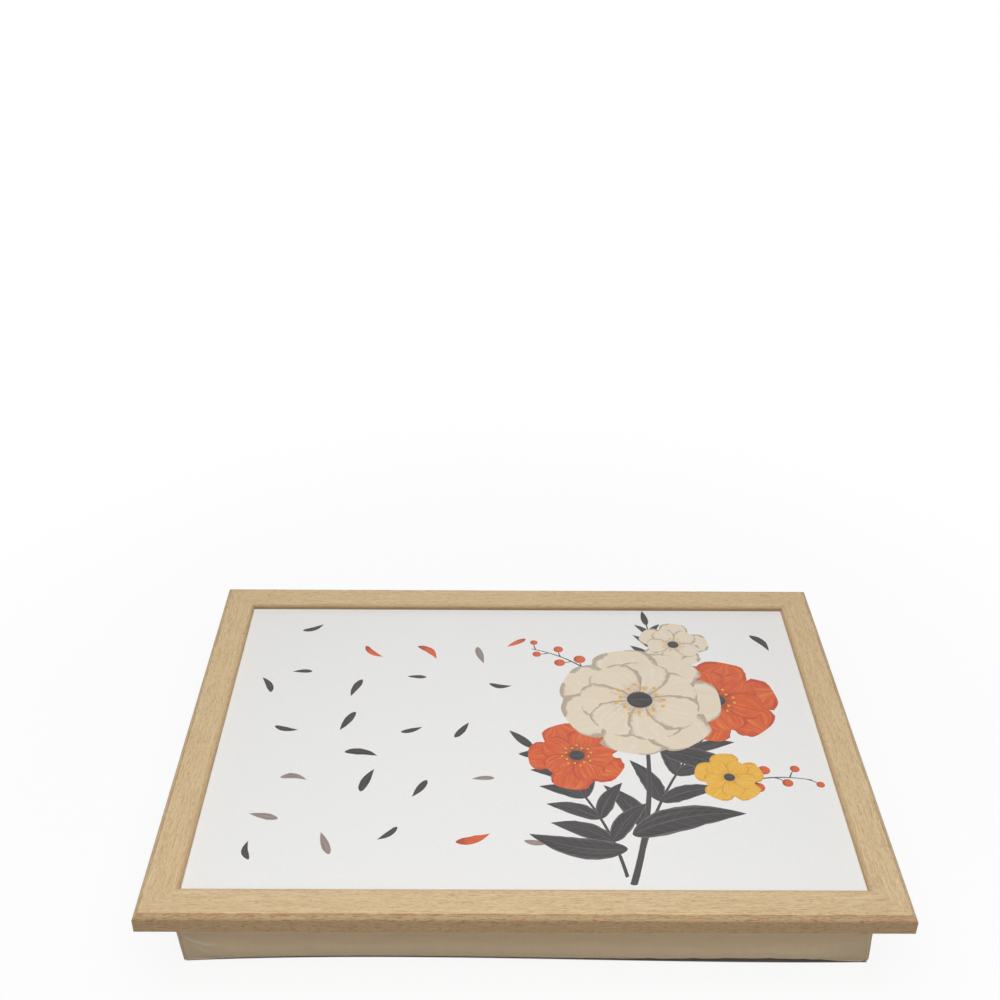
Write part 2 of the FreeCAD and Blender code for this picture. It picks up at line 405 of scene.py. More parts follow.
@shader_group(
    "Brushed ink",
    {
        "Motif": ORIGIN,
        **dict.fromkeys(("Ink", "Light", "Heart tone", "Rim tone"), GREY),
        **dict.fromkeys(("Tone", "Streaks", "Ribs", "Heart", "Rim"), 0.0),
    },
)
def brushed_ink(build, given):
    """A painted leaf or petal on coordinates along (X, 0 to 1) and across (Y, -1 to 1)."""
    x, y, _ = build.split(given["Motif"])
    side = build.maths("ABSOLUTE", y)
    where = build.add("CombineXYZ", {"X": x, "Y": y, "Z": build.times(given["Tone"], 61)})[0]
    streak = build.noise(where, (1.6, 7.0, 1.0), 5, 0.65)
    grain = build.noise(where, (9.0, 5.0, 1.0), 3, 0.6)
    light = build.times(build.ramp(streak, 0.42, 0.78), given["Streaks"])
    tone = build.mix(light, given["Ink"], given["Light"])
    slant = build.minus(build.times(x, 9), build.times(side, 1.7))
    vein = build.ramp(build.maths("SINE", build.times(slant, 2 * math.pi)), 0.86, 1.0)
    rib = build.ramp(side, 0.09, 0.03)
    ribs = build.times(build.maths("MAXIMUM", build.times(vein, 0.6), rib), given["Ribs"])
    tone = build.mix(ribs, tone, given["Light"])
    heart = build.times(build.ramp(build.maths("ADD", x, grain), 0.95, 0.45), given["Heart"])
    tone = build.mix(heart, tone, given["Heart tone"])
    edge = build.maths("ADD", side, build.times(build.minus(grain, 0.5), 0.35))
    rim = build.times(build.ramp(edge, 0.80, 0.93), given["Rim"])
    return {"Color": build.mix(rim, tone, given["Rim tone"])}


@shader_group("Speckle", {"Vector": ORIGIN, "Scale": 400.0, "First": GREY, "Second": GREY})
def speckle(build, given):
    """Fine two-tone fibre or fleck."""
    fine = build.noise(given["Vector"], given["Scale"], 4, 0.7)
    tone = build.mix(build.ramp(fine, 0.32, 0.68), given["First"], given["Second"])
    return {"Color": tone, "Height": fine}


# Finishes

# Depth of fine relief
FOIL_RELIEF = 0.00005
PRINT_RELIEF = 0.00001
WEAVE_RELIEF = 0.00009
SEAM_RELIEF = 0.0001

# Width of the wear on edges
RAIL_WEAR = 0.0006
SMALL_WEAR = 0.0002

# Flecks per metre
PAPER_FLECKS = 700
THREAD_FLECKS = 1500
TAPE_FLECKS = 2400
FLOOR_FLECKS = 60


def rail_finish(name, wood, turned):
    """Wood-effect foil with its grain along the rail, raw timber below."""
    finish = Finish(name)
    spot = finish.place()
    along = spot
    if turned:
        x, y, z = finish.split(spot)
        along = finish.add("CombineXYZ", {"X": y, "Y": x, "Z": z})[0]
    grain = finish.group(
        foil_grain, {"Vector": along, "Pale": wood.pale, "Deep": wood.deep, "Pore": wood.pore}
    )
    half_x, half_y, top = CAD_BOUNDS[1]
    frame_sizes = {
        "Half width": half_x,
        "Half depth": half_y,
        "Rail": half_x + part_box("rail_left")[1].x,
        "Line": wood.joint_width,
        "Arris": wood.arris,
        "Top": top,
        "Lip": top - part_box("face_laminate")[1].z,
    }
    lines = finish.group(frame_lines, {"Vector": spot, **frame_sizes})
    worn = finish.group(edge_wear, {"Vector": spot, "Radius": RAIL_WEAR})
    _, facing_y, facing_z = finish.split(finish.add("NewGeometry")["True Normal"])
    # Painted shade: the foil is darkened on the outer bevel and face turned to the front, where less light
    # falls, and on the sight edge's inner round-over as it turns down. The pores on those front faces are
    # drawn stronger too.
    front = finish.times(lines["Outside"], finish.ramp(facing_y, -0.3, -0.6))
    shadow = finish.times(lines["Contact"], finish.ramp(facing_y, 0.0, -0.7, 0.05, 0.65))
    tone = finish.mix(finish.ramp(facing_z, -0.5, -0.9), grain["Color"], wood.raw)
    tone = finish.mix(finish.times(grain["Pores"], finish.times(front, 0.45)), tone, wood.pore)
    tone = finish.mix(finish.maths("MAXIMUM", front, lines["Sight"]), tone, wood.outer, "MULTIPLY")
    tone = finish.mix(shadow, tone, wood.joint)
    tone = finish.mix(finish.times(worn["Mask"], 0.22), tone, wood.pale)
    tone = finish.mix(finish.times(lines["Crease"], 0.6), tone, wood.pore)
    return finish.done(
        Base_Color=finish.mix(lines["Mitre"], tone, wood.joint),
        Roughness=grain["Roughness"],
        Normal=finish.bump(grain["Height"], FOIL_RELIEF),
        Specular_IOR_Level=0.35,
    )


def laminated(finish, tone, paper):
    """The satin laminate over the print: faint haze, uneven gloss."""
    spot = finish.place()
    haze = finish.ramp(finish.noise(spot, 9), 0.35, 0.7, 0.0, 0.02)
    return finish.done(
        Base_Color=finish.mix(haze, tone, paper),
        Roughness=finish.ramp(finish.noise(spot, 30, 4), 0.3, 0.7, 0.40, 0.50),
        Normal=finish.bump(finish.noise(spot, 1400, 2), PRINT_RELIEF),
        Specular_IOR_Level=0.5,
    )


def ink_finish(name, paper, ink, look):
    """One ink of the print, with its lighter and darker tones and how strongly they show."""
    finish = Finish(name)
    motif = finish.add("UVMap", uv_map="motif")[0]
    tone = finish.add("Attribute", attribute_name="motif_tone")["Fac"]
    looks = dict(zip(INK_INPUTS, look))
    painted = finish.group(brushed_ink, {"Motif": motif, "Tone": tone, "Ink": ink, **looks})
    return laminated(finish, painted["Color"], paper)


def paper_finish(name, paper):
    finish = Finish(name)
    fleck = finish.flecks(PAPER_FLECKS, paper, dimmed(paper, 0.97))
    return laminated(finish, fleck["Color"], paper)


def cloth_finish(name, soft):
    """Plain woven cover cloth, with a painted highlight on the ridges of its corner creases."""
    finish = Finish(name)
    spot = finish.add("UVMap", uv_map="cloth")[0]
    crest = finish.add("Attribute", attribute_name="rubbed")["Fac"]
    weave = finish.group(plain_weave, {"Vector": spot, "Thread": soft.thread})
    tone = finish.mix(finish.ramp(weave["Height"], 0.15, 0.75), soft.shade, soft.cloth)
    tone = finish.mix(finish.ramp(weave["Yarn"], 0.0, 1.0, 0.0, 0.22), tone, soft.shade)
    soil = finish.ramp(finish.noise(spot, 26), 0.4, 0.75, 0.0, 0.10)
    tone = finish.mix(soil, tone, soft.shade)
    return finish.done(
        # Painted highlight on the crease ridges, from the ridge mask that fold() stores on the cover.
        Base_Color=finish.mix(finish.ramp(crest, 0.05, 1.0, 0.0, 0.75), tone, soft.rubbed),
        Roughness=finish.ramp(weave["Yarn"], 0.0, 1.0, 0.86, 0.95),
        Normal=finish.bump(weave["Height"], WEAVE_RELIEF),
        Specular_IOR_Level=0.2,
        Sheen_Weight=0.15,
        Sheen_Roughness=0.5,
    )


def seam_finish(name, soft):
    """The cover's cloth on a narrow fold, with thread-scale flecks of cloth and of painted highlight, so
    that the seams show paler.
    """
    finish = Finish(name)
    fleck = finish.flecks(THREAD_FLECKS, soft.cloth, soft.rubbed)
    return finish.done(
        Base_Color=fleck["Color"],
        Roughness=0.9,
        Normal=finish.bump(fleck["Height"], SEAM_RELIEF),
        Specular_IOR_Level=0.2,
    )


def fleck_finish(name, first, second, scale, depth, rough, metal=0.0):
    """A two-tone finish with fine relief, worn at its edges."""
    finish = Finish(name)
    fleck = finish.flecks(scale, first, second)
    worn = finish.group(edge_wear, {"Vector": finish.place(), "Radius": SMALL_WEAR})
    return finish.done(
        Base_Color=finish.mix(finish.times(worn["Mask"], 0.35), fleck["Color"], second),
        Metallic=metal,
        Roughness=finish.ramp(fleck["Height"], 0.2, 0.8, rough - 0.08, rough + 0.08),
        Normal=finish.bump(fleck["Height"], depth),
    )


def dotted_finish(name, first, second, pitch, depth):
    """A tape face of small raised tufts or hooks in a staggered field."""
    finish = Finish(name)
    cells = finish.add("TexVoronoi", {"Vector": finish.place(), "Scale": 1 / pitch, "Randomness": 0.55})
    tuft = finish.ramp(cells["Distance"], 0.55, 0.1)
    fleck = finish.flecks(TAPE_FLECKS, first, second)
    between = finish.ramp(tuft, 0.0, 1.0, 0.35, 0.0)
    return finish.done(
        Base_Color=finish.mix(between, fleck["Color"], dimmed(first, 0.35)),
        Roughness=0.8,
        Normal=finish.bump(tuft, depth),
    )


def dress(node, material):
    """Gives a CAD node its finish."""
    piece = NODES[node]
    piece.data.materials.clear()
    piece.data.materials.append(material)


def new_piece(name, mesh, materials):
    piece = bpy.data.objects.new(name, mesh)
    for material in materials:
        mesh.materials.append(material)
    bpy.context.scene.collection.objects.link(piece)
    return piece


def as_mesh(build, name):
    """The mesh of a finished bmesh."""
    mesh = bpy.data.meshes.new(name)
    build.to_mesh(mesh)
    build.free()
    return mesh


# Printed face, drawn in millimetres and degrees

# Half width along a painted shape, as a share of half its nominal width
PROFILES = {
    "leaf": lambda u: u**0.62 * (1 - u) / 0.438,
    "petal": lambda u: u**0.72 * (1 - u) ** 0.34 / 0.503,
    "disc": lambda u: math.sqrt(max(4 * u * (1 - u), 0)),
    "stem": lambda u: 1 - 0.6 * u,
}

# Distance between two points on a shape's edge, and width of a leaf as a share of its length
EDGE_STEP = 2.2
LEAF_SLIM = 0.36

# Where the small leaves drift: distance from the rails, from each other, and clear of the spray
DRIFT_MARGIN_X = 26
DRIFT_MARGIN_Y = 24
DRIFT_APART = 34
SPRAY_MIDDLE = (92, -4)
SPRAY_REACH = (112, 150)

# Step from one shape's tone to the next, in turns of the whole range
TONE_STEP = 0.6180339

# How each ink is painted: its other tones, and how strongly its streaks, ribs, heart and rim show
INK_INPUTS = ("Light", "Heart tone", "Rim tone", "Streaks", "Ribs", "Heart", "Rim")
INK_LOOKS = {
    "charcoal": ((0.13, 0.11, 0.115, 1), GREY, (0.26, 0.22, 0.21, 1), 0.55, 0.45, 0.0, 0.4),
    "taupe": ((0.50, 0.42, 0.37, 1), GREY, (0.6, 0.53, 0.48, 1), 0.8, 0.5, 0.0, 0.6),
    "cream": ((0.80, 0.76, 0.68, 1), (0.36, 0.22, 0.15, 1), (0.20, 0.14, 0.11, 1), 0.9, 0.12, 0.55, 0.55),
    "red": ((0.80, 0.26, 0.06, 1), (0.16, 0.012, 0.01, 1), (0.36, 0.03, 0.012, 1), 0.85, 0.12, 0.7, 0.45),
    "yellow": ((0.84, 0.62, 0.20, 1), (0.42, 0.13, 0.01, 1), (0.48, 0.19, 0.02, 1), 0.8, 0.1, 0.5, 0.4),
}


class Motif:
    """One painted shape. It starts at a point and runs along an angle."""

    def __init__(self, x, y, angle, long, wide, ink, profile="leaf", bend=0.0, fray=0.0):
        self.start = Vector((x, y))
        self.turn = Matrix.Rotation(math.radians(angle), 2)
        self.long = long
        self.half = wide / 2
        self.ink = ink
        self.profile = PROFILES[profile]
        self.bend = bend
        self.fray = fray

    def rise(self, u):
        """How far the bent rib lies off a straight line."""
        return 4 * self.bend * self.long * u * (1 - u)

    def point(self, u, v):
        across = self.rise(u) + v * self.half * self.profile(u)
        return self.start + self.turn @ Vector((self.long * u, across))

    def outline(self):
        """Both halves of the shape, each from its start along the rib and back along its edge."""
        count = max(8, min(26, int(self.long / EDGE_STEP)))
        steps = [(1 - math.cos(math.pi * i / count)) / 2 for i in range(count + 1)]
        rib = [self.point(u, 0) for u in steps]
        halves = []
        for side in (1, -1):
            edge = []
            for u in reversed(steps[1:-1]):
                wobble = noise.noise(Vector((self.start.x + u * 9, self.start.y, side * 3.1)))
                edge.append(self.point(u, side * (1 + self.fray * wobble)))
            halves.append(rib + edge if side > 0 else (rib + edge)[::-1])
        return halves

    def locate(self, spot):
        """The shape's own coordinates, along and across, of a point on the sheet."""
        local = self.turn.transposed() @ (Vector(spot) - self.start)
        u = min(max(local.x / self.long, 0.0), 1.0)
        wide = max(self.half * self.profile(u), 0.05)
        return u, min(max((local.y - self.rise(u)) / wide, -1.0), 1.0)


def disc(x, y, size, ink):
    return Motif(x - size / 2, y, 0, size, size, ink, "disc")


def outward(x, y, angle, reach):
    """A point at an angle and a distance from another."""
    return Vector((x, y)) + Matrix.Rotation(math.radians(angle), 2) @ Vector((reach, 0))


def blossom(x, y, size, ink, count, tilt):
    """Two rings of petals round a dark centre with stamens."""
    shapes = []
    for ring, (reach, wide) in enumerate(((1.0, 0.86), (0.72, 0.70))):
        for number in range(count):
            angle = tilt + (number + 0.5 * ring) * 360 / count
            start = outward(x, y, angle, 0.06 * size)
            bend = 0.05 if number % 2 else -0.04
            shapes.append(Motif(*start, angle, reach * size, wide * size, ink, "petal", bend, 0.16))
    shapes.append(disc(x, y, 0.34 * size, "charcoal"))
    for number in range(15):
        reach = 0.25 if number % 2 else 0.32
        spot = outward(x, y, tilt + number * 24, reach * size)
        shapes.append(disc(*spot, 0.055 * size, "yellow"))
    return shapes


def berry_sprig(x, y, angle, long, ink, bend):
    """A thin stem with berries on short stalks at both sides."""
    stem = Motif(x, y, angle, long, 1.6, "charcoal", "stem", bend)
    shapes = [stem]
    for number in range(5):
        at = stem.point(0.35 + 0.15 * number, 0)
        out = angle + (48 if number % 2 else -44)
        stalk = Motif(*at, out, 0.14 * long, 1.0, "charcoal", "stem", 0.06)
        shapes += [stalk, disc(*stalk.point(1, 0), 8.6 - 0.8 * number, ink)]
    return shapes


def leaf_branch(x, y, angle, long, leaf, bend):
    """A stem with paired leaves that grow smaller to the tip."""
    stem = Motif(x, y, angle, long, 2.4, "charcoal", "stem", bend)
    shapes = [stem]
    for number in range(5):
        u = 0.22 + 0.155 * number
        at = stem.point(u, 0)
        size = leaf * (1.06 - 0.13 * number)
        slope = math.degrees(math.atan(4 * bend * (1 - 2 * u)))
        for side in (1, -1):
            out = angle + slope + side * (52 - 4 * number)
            shapes.append(Motif(*at, out, size, 0.40 * size, "charcoal", "leaf", side * -0.07, 0.12))
    slope = math.degrees(math.atan(-4 * bend * 0.9))
    shapes.append(Motif(*stem.point(0.96, 0), angle + slope, 0.6 * leaf, 0.22 * leaf, "charcoal"))
    return shapes


def spray():
    """The large flower spray to the right of the sheet's middle."""
    shapes = leaf_branch(66, -126, 62, 172, 44, 0.07)
    shapes += leaf_branch(60, -126, 116, 128, 38, -0.08)
    shapes += leaf_branch(84, 24, 84, 100, 30, -0.06)
    shapes.append(Motif(63, -132, 84, 170, 4.4, "charcoal", "stem", -0.05))
    shapes += berry_sprig(120, -58, 12, 66, "red", 0.12)
    shapes += berry_sprig(58, 52, 142, 62, "red", -0.10)
    for x, y, angle, long in ((66, -92, 14, 74), (62, -104, 168, 60), (92, -18, -28, 66), (48, -6, 196, 52)):
        shapes.append(Motif(x, y, angle, long, LEAF_SLIM * long, "charcoal", "leaf", 0.08, 0.10))
    shapes += blossom(134, 34, 40, "red", 6, 12)
    shapes += blossom(36, -22, 30, "red", 5, 40)
    shapes += blossom(112, 96, 24, "cream", 5, 8)
    shapes += blossom(132, -42, 21, "yellow", 5, 20)
    shapes += blossom(82, 34, 52, "cream", 7, 0)
    return shapes


def drift(count, seed, half_x, half_y):
    """Small single leaves spread over the ground, clear of the spray and of each other."""
    draw = np.random.RandomState(seed)
    spots = []
    while len(spots) < count:
        spot = x, y = draw.uniform(-half_x, half_x), draw.uniform(-half_y, half_y)
        off = [(at - middle) / reach for at, middle, reach in zip(spot, SPRAY_MIDDLE, SPRAY_REACH)]
        if math.hypot(*off) >= 1 and all(math.hypot(x - a, y - b) > DRIFT_APART for a, b in spots):
            spots.append(spot)
    shapes = []
    for x, y in spots:
        long = draw.uniform(13, 22)
        ink = draw.choice(["charcoal", "charcoal", "taupe", "red"], p=[0.35, 0.3, 0.25, 0.1])
        bend = draw.uniform(-0.16, 0.16)
        shapes.append(Motif(x, y, draw.uniform(0, 360), long, LEAF_SLIM * long, ink, "leaf", bend, 0.2))
    return shapes


def printed_mesh(shapes, inks, low, high):
    """A thin sheet whose top is cut along the painted shapes, each face in the ink of the topmost shape."""
    corners = [(low.x, low.y), (high.x, low.y), (high.x, high.y), (low.x, high.y)]
    points = [Vector(c) for c in corners]
    faces, owners = [[0, 1, 2, 3]], [None]
    for number, shape in enumerate(shapes):
        for half in shape.outline():
            first = len(points)
            points.extend(p * MM for p in half)
            faces.append(list(range(first, len(points))))
            owners.append(number)
    spots, _, cells, _, _, origins = geometry.delaunay_2d_cdt(points, [], faces, 1, 1e-7)
    sheet = bmesh.new()
    motif = sheet.loops.layers.uv.new("motif")
    tone = sheet.faces.layers.float.new("motif_tone")
    top = [sheet.verts.new((p.x, p.y, high.z)) for p in spots]
    for cell, origin in zip(cells, origins):
        face = sheet.faces.new([top[i] for i in cell])
        if sum(spots[a].cross(spots[b]) for a, b in zip(cell, cell[1:] + cell[:1])) < 0:
            face.normal_flip()
        topmost = max((o for o in origin if o), default=0)
        if topmost:
            shape = shapes[owners[topmost]]
            face.material_index = inks.index(shape.ink)
            face[tone] = (owners[topmost] * TONE_STEP) % 1.0
            for loop in face.loops:
                loop[motif].uv = shape.locate(loop.vert.co.xy / MM)
    rim = [min(top, key=lambda v: (v.co.xy - Vector(c)).length) for c in corners]
    foot = [sheet.verts.new((x, y, low.z)) for x, y in corners]
    sheet.faces.new(foot[::-1])
    for i in range(4):
        sheet.faces.new([foot[i - 1], foot[i], rim[i], rim[i - 1]])
    return as_mesh(sheet, "printed_face")


# Cushion

# Strength of the corner creases at the low and high end of each side band, in the order of SIDES
FOLDS = ((1.0, 0.25), (0.3, 0.4), (0.5, 0.5), (0.3, 0.4))

# Axis and direction that each side band faces, in the same order, and how far in it reaches
WALLS = ((1, -1), (1, 1), (0, -1), (0, 1))
WALL_DEPTH = 0.012

# Share of the height where the side bands' flare is nil
FLARE_LEVEL = 0.45

# Step between the panels' cloth coordinates, so that no two panels match
PANEL_SHIFT = 0.0137

# Corner seams, as shares of the seam radius. The closing one, at the front right, lies to one side
POST_SHARE = 0.6
CLOSING_SHARE = 0.9
CLOSING_SHIFT = Vector((-0.0020, -0.0006, 0))

SEAM_CREASE = 0.85
BAG_INSET = 0.003

CLOTH = {
    "quality": 6,
    "mass": 0.25,
    "tension_stiffness": 18,
    "compression_stiffness": 18,
    "shear_stiffness": 6,
    "bending_stiffness": 0.35,
    "use_pressure": True,
}

STITCH_PITCH = 0.0034
STITCH_LONG = 0.0025
STITCH_RADIUS = 0.00035
STITCH_MARGIN = 0.0022
STITCH_SUNK = 0.0001

# Place along a stitch, and its thickness there
STITCH_RINGS = ((-0.5, 0.55), (-0.2, 1.0), (0.2, 1.0), (0.5, 0.55))


def cushion_sizes(soft):
    """Half width, half depth and height of the cushion's seams, from the CAD solids."""
    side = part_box("gusset_right")[1].x - soft.inset
    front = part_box("gusset_back")[1].y - soft.inset
    return side, front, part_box("cover_top")[1].z


def base_ends(soft):
    """Middle and half length of the base seam, across the cushion."""
    half = cushion_sizes(soft)[0] + soft.spread - FLARE_LEVEL * soft.flare
    return soft.offset + 0.5 * soft.lean, half


def cloth_box(soft):
    """The cover's panels as one grid of squares with flat cloth coordinates, its seams and corner posts."""
    half_x, half_y, high = cushion_sizes(soft)
    nx, ny = (round(2 * half / soft.step) for half in (half_x, half_y))
    nz = round(high / soft.row)
    cloth = bmesh.new()
    flat = cloth.loops.layers.uv.new("cloth")
    corners = {}

    def corner(i, j, k):
        if (i, j, k) not in corners:
            spot = (half_x * (2 * i / nx - 1), half_y * (2 * j / ny - 1), high * k / nz)
            corners[i, j, k] = cloth.verts.new(spot)
        return corners[i, j, k]

    panels = [
        (nx, nz, soft.row, lambda a, b: (a, 0, b)),
        (nx, nz, soft.row, lambda a, b: (nx - a, ny, b)),
        (ny, nz, soft.row, lambda a, b: (0, ny - a, b)),
        (ny, nz, soft.row, lambda a, b: (nx, a, b)),
        (nx, ny, soft.step, lambda a, b: (a, b, nz)),
        (nx, ny, soft.step, lambda a, b: (a, ny - b, 0)),
    ]
    for number, (along, up, row, spot) in enumerate(panels):
        for a in range(along):
            for b in range(up):
                grid = ((a, b), (a + 1, b), (a + 1, b + 1), (a, b + 1))
                face = cloth.faces.new([corner(*spot(*g)) for g in grid])
                face.smooth = True
                for loop, (c, d) in zip(face.loops, grid):
                    loop[flat].uv = (c * soft.step + number * PANEL_SHIFT, d * row)
    cloth.verts.index_update()
    ring = [(i, 0) for i in range(nx)] + [(nx, j) for j in range(ny)]
    ring += [(nx - i, ny) for i in range(nx)] + [(0, ny - j) for j in range(ny)]
    seams = [[corners[i, j, k].index for i, j in ring] for k in (0, nz)]
    posts = [[corners[i, j, k].index for k in range(nz + 1)] for i in (0, nx) for j in (0, ny)]
    return as_mesh(cloth, "cushion_cover"), seams, posts


def read_points(mesh):
    points = np.empty(len(mesh.vertices) * 3)
    mesh.vertices.foreach_get("co", points)
    return points.reshape(-1, 3)


def write_points(mesh, points):
    mesh.vertices.foreach_set("co", points.astype(np.float32).ravel())
    mesh.update()


def bell(value, middle, width, sharpness=2):
    """1 at a middle value, falling off to 0 on both sides."""
    return np.exp(-(((value - middle) / width) ** sharpness))


def draw_in(mesh, soft):
    """Draws the panels in between the corners, and lifts the base seam a little off the floor there."""
    half_x, half_y, high = cushion_sizes(soft)
    p = read_points(mesh)
    x, y, z = p[:, 0] / half_x, p[:, 1] / half_y, p[:, 2] / high
    bow = soft.drawn_in * (1 - x**2) * (1 - soft.skew * x * (1 - z) * (y < 0))
    p[:, 0] *= 1 + (soft.spread + soft.flare * (z - FLARE_LEVEL) - soft.drawn_in * (1 - y**2)) / half_x
    p[:, 0] += soft.offset + soft.lean * (0.5 - z)
    p[:, 1] *= 1 - bow / half_y
    edge = np.maximum(np.abs(x), np.abs(y)) > 1 - 1e-4
    middle = 1 - np.minimum(np.abs(x), np.abs(y)) ** 6
    p[:, 2] += soft.seam_lift * middle * edge * (1 - 2 * z)
    write_points(mesh, p)


def simulate(piece, soft, pins):
    """Fills the cover by a short cloth simulation, held at its seams, and keeps the result in the mesh."""
    before = read_points(piece.data)
    group = piece.vertex_groups.new(name="seams")
    group.add(pins, 1.0, "REPLACE")
    cloth = piece.modifiers.new("cloth", "CLOTH")
    for key, value in CLOTH.items():
        setattr(cloth.settings, key, value)
    cloth.settings.shrink_min = -soft.slack
    cloth.settings.uniform_pressure_force = soft.pressure
    cloth.settings.effector_weights.gravity = 0
    cloth.settings.vertex_group_mass = group.name
    cloth.point_cache.frame_start = 1
    cloth.point_cache.frame_end = soft.frames
    scene = bpy.context.scene
    for number in range(1, soft.frames + 1):
        scene.frame_set(number)
    filled = piece.evaluated_get(bpy.context.evaluated_depsgraph_get())
    move = read_points(filled.data) - before
    piece.modifiers.remove(cloth)
    piece.vertex_groups.remove(group)
    scene.frame_set(1)
    far = np.linalg.norm(move, axis=1, keepdims=True)
    reach = soft.move * np.tanh(far / soft.move)
    write_points(piece.data, before + move * reach / np.maximum(far, 1e-9))


def settle(mesh, soft):
    """Flattens the cover where it lies on the floor and where the board presses on it."""
    p = read_points(mesh)
    p[:, 2] = np.clip(p[:, 2], 0.0, cushion_sizes(soft)[2])
    write_points(mesh, p)


def stand_out(along, z, reach, high, soft, folds):
    """How far a side band stands out, and the ridge of its crease. The band is full low down and hollow
    above the crease, which climbs to the corners, and a short slanting dent lies below it."""
    corner_stiff, ridge_start = 0.035, 0.005
    crease_level, crease_climb, climb_length = 0.0155, 0.0085, 0.011
    crease_out, crease_width, crease_middle, crease_reach = 0.0022, 0.0013, 0.010, 0.013
    hollow_in, hollow_above, hollow_width = 0.0030, 0.006, 0.005
    dent_in, dent_level, dent_slope, dent_width = 0.0009, 0.019, 0.45, 0.002
    dent_middle, dent_reach = 0.014, 0.012
    corner = np.clip(reach - np.abs(along), 0, None)
    strength = np.where(along < 0, folds[0], folds[1])
    free = np.clip(corner / corner_stiff, 0, 1)
    free = free * free * (3 - 2 * free)
    crest = crease_level + crease_climb * np.exp(-corner / climb_length)
    full = soft.slump * np.sin(math.pi * np.sqrt(z / high))
    hollow = hollow_in * bell(z, crest + hollow_above, hollow_width)
    ridge = strength * bell(z, crest, crease_width) * bell(corner, crease_middle, crease_reach, 4)
    ridge *= np.clip(corner / ridge_start, 0, 1) ** 2
    dent = dent_in * strength * bell(z, dent_level - dent_slope * corner, dent_width)
    dent *= bell(corner, dent_middle, dent_reach)
    return (full - hollow) * free + crease_out * ridge - dent, ridge


def fold(mesh, soft):
    """Lets the filling sink in the side bands, creases them at the corners and puckers them at the seams."""
    pucker, pucker_reach, puckers_per_metre = 0.0001, 0.007, 95
    swell, swells_along, swells_up = 0.0006, 22, 30
    half_x, half_y, high = cushion_sizes(soft)
    p = read_points(mesh)
    rubbed = np.zeros(len(p))
    for number, (axis, sign) in enumerate(WALLS):
        wall, reach = (half_x, half_y)[axis], (half_x, half_y)[1 - axis]
        band = np.flatnonzero(sign * p[:, axis] > wall - WALL_DEPTH)
        along, z = p[band, 1 - axis], np.clip(p[band, 2], 0, high)
        near_seam = np.exp(-z / pucker_reach) + np.exp(-(high - z) / pucker_reach)
        ripples = [Vector((a * puckers_per_metre, number * 7.0, 1.7)) for a in along]
        swells = [Vector((a * swells_along, number * 9.0, b * swells_up)) for a, b in zip(along, z)]
        ripple, uneven = (np.array([noise.noise(spot) for spot in spots]) for spots in (ripples, swells))
        held = np.clip(3 * np.sin(math.pi * z / high), 0, 1)
        out, ridge = stand_out(along, z, reach, high, soft, FOLDS[number])
        out += pucker * ripple * near_seam + swell * uneven * z / high
        p[band, axis] += sign * out * held
        # The crease ridge is also kept as the mask of the cloth's painted highlight.
        rubbed[band] = np.maximum(rubbed[band], ridge)
    mesh.attributes.new("rubbed", "FLOAT", "POINT").data.foreach_set("value", rubbed)
    write_points(mesh, p)


def hang(mesh, soft):
    """Lifts the stretch of the front base seam that hangs loose, and rounds off the corner to its right."""
    loose_middle, loose_left, loose_right = 0.74, 0.34, 0.14
    lifted_height, lifted_depth = 0.014, 0.02
    half_x, half_y, _ = cushion_sizes(soft)
    p = read_points(mesh)
    x = p[:, 0] / half_x
    rise = soft.loose * bell(x, loose_middle, np.where(x < loose_middle, loose_left, loose_right))
    low = np.clip(1 - p[:, 2] / lifted_height, 0, 1)
    front = np.clip(1 - (p[:, 1] + half_y) / lifted_depth, 0, 1)
    p[:, 2] += rise * low**2 * front**2
    radius = soft.corner_round
    over, under = p[:, 0] - sum(base_ends(soft)) + radius, radius - p[:, 2]
    far = np.hypot(over, under)
    outside = (over > 0) & (under > 0) & (far > radius)
    pull = np.where(outside, 1 - radius / np.maximum(far, radius), 0) * np.sqrt(front)
    p[:, 0] -= pull * over
    p[:, 2] += pull * under
    write_points(mesh, p)


def smoothed(piece, seams):
    """One round of subdivision, with the seams kept crisp."""
    mesh = piece.data
    crease = mesh.attributes.new("crease_edge", "FLOAT", "EDGE")
    sharp = set()
    for line in seams:
        sharp.update(frozenset(pair) for pair in zip(line, line[1:] + line[:1]))
    values = [SEAM_CREASE if frozenset(e.vertices) in sharp else 0.0 for e in mesh.edges]
    crease.data.foreach_set("value", values)
    piece.modifiers.new("round", "SUBSURF").levels = 1
    final = bpy.data.meshes.new_from_object(piece.evaluated_get(bpy.context.evaluated_depsgraph_get()))
    piece.modifiers.clear()
    piece.data = final
    bpy.data.meshes.remove(mesh)
    final.name = piece.name


def ring_round(build, spot, side, up, radius, count):
    """A ring of points round a spot."""
    turns = [2 * math.pi * n / count for n in range(count)]
    return [build.verts.new(spot + radius * (math.cos(t) * side + math.sin(t) * up)) for t in turns]


def skin(build, rings, closed=False):
    """The faces of a tube through rings of points, with capped ends unless it is closed."""
    for a, b in zip(rings, rings[1:] + (rings[:1] if closed else [])):
        for n in range(len(a)):
            build.faces.new([a[n - 1], a[n], b[n], b[n - 1]]).smooth = True
    if not closed:
        build.faces.new(rings[0][::-1])
        build.faces.new(rings[-1])


def tube_mesh(build, name):
    bmesh.ops.recalc_face_normals(build, faces=build.faces)
    return as_mesh(build, name)


def seam_mesh(lines):
    """Thin tubes along lines of points: (points, radius, closed)."""
    tubes = bmesh.new()
    for points, radius, closed in lines:
        rings = []
        last = len(points) - 1
        for i, spot in enumerate(points):
            ahead = points[i + 1] if i < last else points[0] if closed else spot
            behind = points[i - 1] if closed or i else spot
            way = (ahead - behind).normalized()
            side = way.cross(UP if abs(way.z) < 0.7 else Vector((1, 0, 0))).normalized()
            rings.append(ring_round(tubes, spot, side, side.cross(way), radius, 6))
        skin(tubes, rings, closed)
    return tube_mesh(tubes, "cushion_seams")


